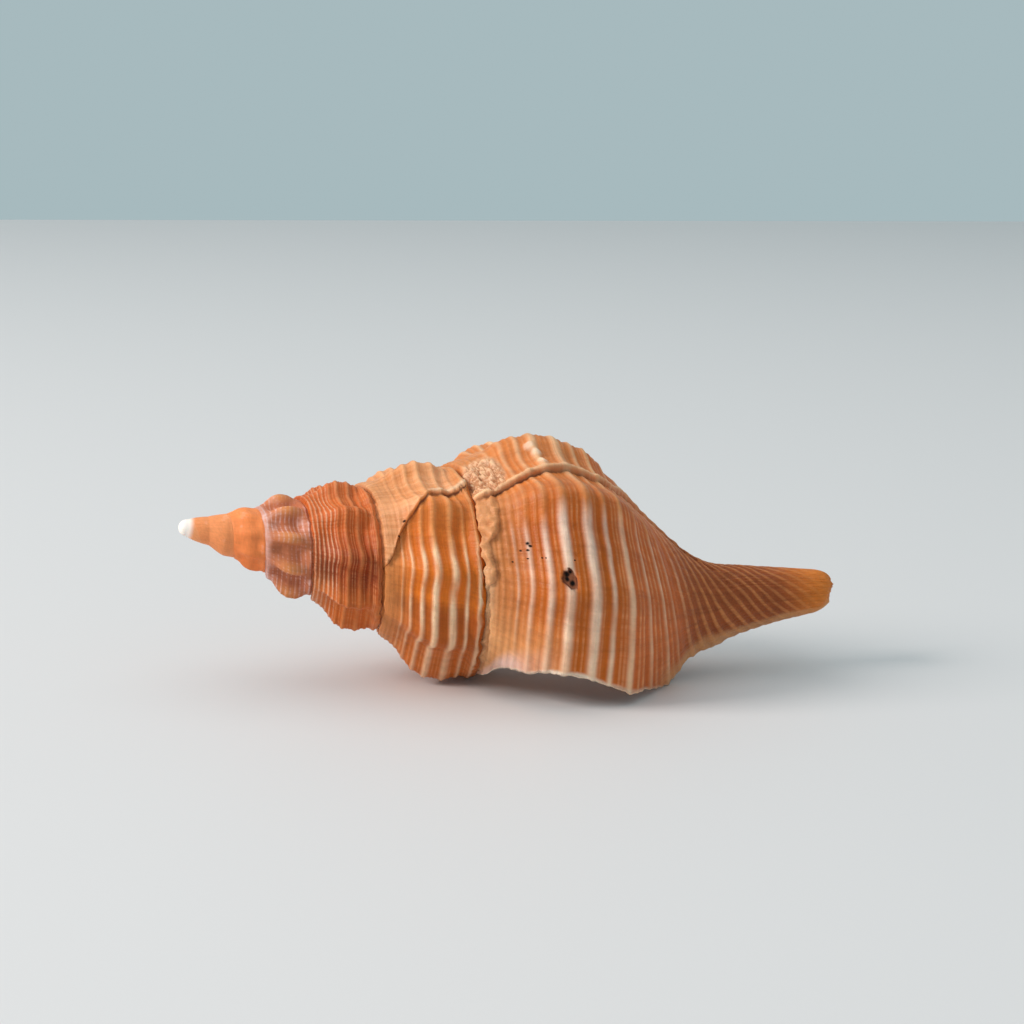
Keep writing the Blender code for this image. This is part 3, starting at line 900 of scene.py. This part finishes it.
    def marked(self):
        # The strip and the rims of old lips are cream, with a line of painted shadow under them and along
        # every suture.
        angle, along, blotch, grain, lumps = self.angle, self.along, self.blotch, self.grain, self.lumps
        former, older = self.beforeFormer, self.beforeOlder
        onFormer = self.last * along.smooth(1.9, 1.6)
        onOlder = angle.within(zones["penultimate"]) * along.smooth(1.47, 1.45)
        self.strip = stripField(along, angle)
        self.rim = former.bump(1.8, 1.8) * onFormer
        self.paint("cream", self.strip.held(0.0, 1.0) * (0.65 + lumps))
        self.paint("rim", (self.rim * (0.7 + lumps)).least(0.9))
        crusted = along.smooth(1.08, 1.0) * (0.35 + lumps)
        crusted = crusted + (blotch + grain * 0.3 + 0.5).smooth(0.52, 0.72) * 0.5
        self.paint("crust", angle.within(zones["crusted"]) * crusted.held(0.0, 1.0))
        elder = older.smooth(0.0, 3.0) * onOlder * along.smooth(1.46, 1.38) * (0.34 + blotch + self.streaks)
        self.paint("elder", elder.least(0.8))

        # painted shadow: in the groove under each old lip's rim, at the strip's steep edge and in the sutures
        rimShadows = former.bump(-0.7, 0.5) * along.smooth(1.0, 1.05) * along.smooth(1.50, 1.25, 0.35, 1.0)
        rimShadows = rimShadows * onFormer + older.bump(-0.6, 0.6) * onOlder
        sutureShadows = along.smooth(1.007, 1.0) * angle.smooth(-1250.0, -1000.0)
        stripShadow = self.strip.bump(0.25, 0.22) * angle.smooth(-60.0, -50.0) * angle.smooth(10.0, -10.0)
        shadowLines = rimShadows * (0.6 + blotch * 2.5 + lumps) + sutureShadows * (0.5 + blotch * 2.0)
        shadowLines = shadowLines + stripShadow * (0.35 + lumps)
        thickEdge = older.bump(3.0, 2.3) * along.smooth(1.24, 1.30) * onOlder
        self.paint("wornPale", (self.worn * 0.9).most(thickEdge))
        crumbs = (fibres(along, angle) * 0.9 + grain * 0.5).held(0.0, 1.0)
        self.paint("crumb", self.worn * crumbs)
        self.paint("shadowColour", shadowLines.least(0.85))

        # the pit with a ring of painted shade on its wall, the bored holes as spots of painted shade, and the
        # beads
        self.paint("pit", self.dent.smooth(0.2, 0.6))
        # painted shade: a dark ring on the pit's sloping wall
        self.paint("shadowColour", self.dent.bump(0.35, 0.25) * (1.0 + lumps * 3.0))
        self.holes = self.dent.smooth(0.1, 0.5)
        # each bored hole is a near-black spot of painted shade; the shape has no hole there
        for holeAngle, holeAlong, radius in paints["holes"]:
            offset = angle + blotch * 2.0 - holeAngle
            holeShade = nearSpot(along + grain * 0.01, offset, holeAlong, radius * paints["holeSize"])
            self.paint("holeShade", holeShade)
            self.holes = self.holes.most(holeShade)
        for spotAngle, spotAlong in scars["beads"]:
            bead = nearSpot(along, angle - spotAngle, spotAlong, paints["beadSize"])
            self.paint("edge", bead * 0.45)
        self.paint("crust", (self.mottle * 1.8 - 0.12).least(0.3))

    def shaded(self):
        # how bright each place is: its own uneven tone, painted shade on two flanks, and painted light and
        # shade on lumps
        angle, along = self.angle, self.along
        # painted shade on the penultimate whorl's lower flank near its suture
        shadedFlank = along.smooth(1.36, 1.46) * angle.smooth(-480.0, -420.0) * angle.smooth(-250.0, -310.0)
        # painted shade low on the last whorl beside its suture
        below = along.smooth(1.16, 1.05) * angle.smooth(-25.0, 0.0) * self.last
        # painted light and shade on the lumps of the strip and the rims, in step with their raised relief
        lumpShading = (self.strip * 1.2 + self.rim.held(0.0, 1.0) * 0.6) * self.lumps
        shade = paints["brightness"] - shadedFlank * 0.16 - below * 0.10 + lumpShading + self.summed(paints["uneven"])
        self.surface = self.surface.moved("MULTIPLY", shade.vector(shade, shade))

    def mouthed(self):
        # Inside the mouth it is smooth and peach, and where it was glazed over too. Its edge is pale.
        along, last, blotch, lip = self.along, self.last, self.blotch, self.beforeMouth
        self.smoothPart = self.inside.most(1 - self.glazed)
        self.paint("tip", self.bulb)
        self.paint("inside", self.smoothPart)
        band = lip.smooth(13.0, 3.0) * last * along.smooth(1.24, 1.10) * (0.45 + blotch * 1.5)
        self.paint("crust", band.least(0.7))
        canalLip = (lip - along.smooth(1.75, 1.9) * 16.0).smooth(22.0, 8.0) * along.smooth(1.58, 1.68)
        self.paint("beige", (canalLip * last * (0.7 + blotch)).held(0.0, 1.0) * 0.8)
        thinEdge = lip.smooth(1.8, 0.2) * last * along.smooth(1.5, 1.3, 0.3, 0.8)
        self.paint("edge", thinEdge)


def shellMaterial():
    material = bpy.data.materials.new("shellWall")
    material.use_nodes = True
    tree = material.node_tree
    principled = tree.nodes["Principled BSDF"]
    skin = Skin(tree)
    for layer in (skin.banded, skin.marked, skin.shaded, skin.mouthed):
        layer()
    rough = paints["roughness"] + skin.holes * 0.5 + 0.12 * (1 - skin.sculpted) + skin.grain * 0.15
    rough = rough + skin.streaks * 0.2 + skin.mottle * 0.6 - skin.smoothPart * 0.2
    relief = skin.summed(paints["bump"]) * (1 - skin.smoothPart) * (0.25 + 0.75 * skin.sculpted)
    raised = skin.angle.node(
        "ShaderNodeBump",
        None,
        {"Strength": paints["bumpStrength"], "Distance": paints["bumpHeight"], "Height": relief},
    )
    for value, name in ((skin.surface, "Base Color"), (rough, "Roughness"), (raised, "Normal")):
        tree.links.new(value.socket, principled.inputs[name])
    principled.inputs["Subsurface Weight"].default_value = paints["translucent"]
    principled.inputs["Subsurface Radius"].default_value = (1.0, 0.45, 0.2)
    principled.inputs["Subsurface Scale"].default_value = paints["lightDepth"]
    principled.inputs["Specular IOR Level"].default_value = paints["gloss"]
    return material


studioLook = {
    "floorFront": 1.0,
    "floorBackLeft": 0.157,
    "floorBackRight": 1.417,
    "floorWide": 2.0,
    "floorColour": (0.70, 0.665, 0.665, 1.0),
    "floorRoughness": 0.6,
    "wallColour": (0.385, 0.49, 0.515, 1.0),
    "window": {"energy": 9.8, "size": 0.40, "place": (-0.90, -0.24, 0.56), "colour": (1.0, 0.95, 0.91)},
    "sky": {"energy": 2.9, "size": 1.1, "place": (0.05, 0.10, 0.95), "colour": (1.0, 0.97, 0.95)},
}

view = {
    "azimuth": 4.3,
    "elevation": 11.4,
    "lean": 1.9,
    "distance": 0.329,
    "target": (-1.0 * mm, 0.0, 23.42 * mm),
    "lens": 84.375,
    "sensorWidth": 36.0,
}


def studio():
    world = bpy.data.worlds.new("studioAir")
    bpy.context.scene.world = world
    world.use_nodes = True
    world.node_tree.nodes["Background"].inputs["Color"].default_value = studioLook["wallColour"]
    names = ("floorWide", "floorFront", "floorBackLeft", "floorBackRight")
    wide, front, left, right = (studioLook[name] for name in names)
    data = bpy.data.meshes.new("tableTop")
    corners = [(-wide, -front, 0.0), (wide, -front, 0.0), (wide, right, 0.0), (-wide, left, 0.0)]
    data.from_pydata(corners, [], [(0, 1, 2, 3)])
    floor = bpy.data.objects.new("tableTop", data)
    bpy.context.scene.collection.objects.link(floor)
    paint = bpy.data.materials.new("tableTop")
    paint.use_nodes = True
    principled = paint.node_tree.nodes["Principled BSDF"]
    principled.inputs["Base Color"].default_value = studioLook["floorColour"]
    principled.inputs["Roughness"].default_value = studioLook["floorRoughness"]
    data.materials.append(paint)
    for name in ("window", "sky"):
        wanted = studioLook[name]
        light = bpy.data.lights.new(name, "AREA")
        light.energy, light.size, light.color = wanted["energy"], wanted["size"], wanted["colour"]
        lamp = bpy.data.objects.new(name, light)
        bpy.context.scene.collection.objects.link(lamp)
        lamp.location = wanted["place"]
        lamp.rotation_euler = (-lamp.location).to_track_quat("-Z", "Y").to_euler()


def camera():
    azimuth, elevation = math.radians(view["azimuth"]), math.radians(view["elevation"])
    level = math.cos(elevation)
    back = Vector((-math.sin(azimuth) * level, -math.cos(azimuth) * level, math.sin(elevation)))
    data = bpy.data.cameras.new("camera")
    data.lens, data.sensor_width = view["lens"], view["sensorWidth"]
    looking = bpy.data.objects.new("camera", data)
    bpy.context.scene.collection.objects.link(looking)
    turned = (-back).to_track_quat("-Z", "Y") @ Quaternion((0, 0, 1), math.radians(view["lean"]))
    looking.location = Vector(view["target"]) + back * view["distance"]
    looking.rotation_euler = turned.to_euler()
    bpy.context.scene.camera = looking


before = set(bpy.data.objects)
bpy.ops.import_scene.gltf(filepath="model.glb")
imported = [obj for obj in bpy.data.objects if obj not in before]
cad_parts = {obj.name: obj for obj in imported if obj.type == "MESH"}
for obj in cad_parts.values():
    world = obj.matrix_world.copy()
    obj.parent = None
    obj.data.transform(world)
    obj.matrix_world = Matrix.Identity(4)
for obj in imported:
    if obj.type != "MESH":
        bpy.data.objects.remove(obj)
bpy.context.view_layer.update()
print("frame loaded")
grown = growShell(shellMaterial())
laidDown(grown)
conch = bpy.data.objects.new("conch", grown)
bpy.context.scene.collection.objects.link(conch)
print("shell grown:", len(grown.polygons), "faces")
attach(conch, "root")
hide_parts("shell")
studio()
camera()
bpy.context.scene.view_settings.view_transform = "Standard"

print("studio ready")
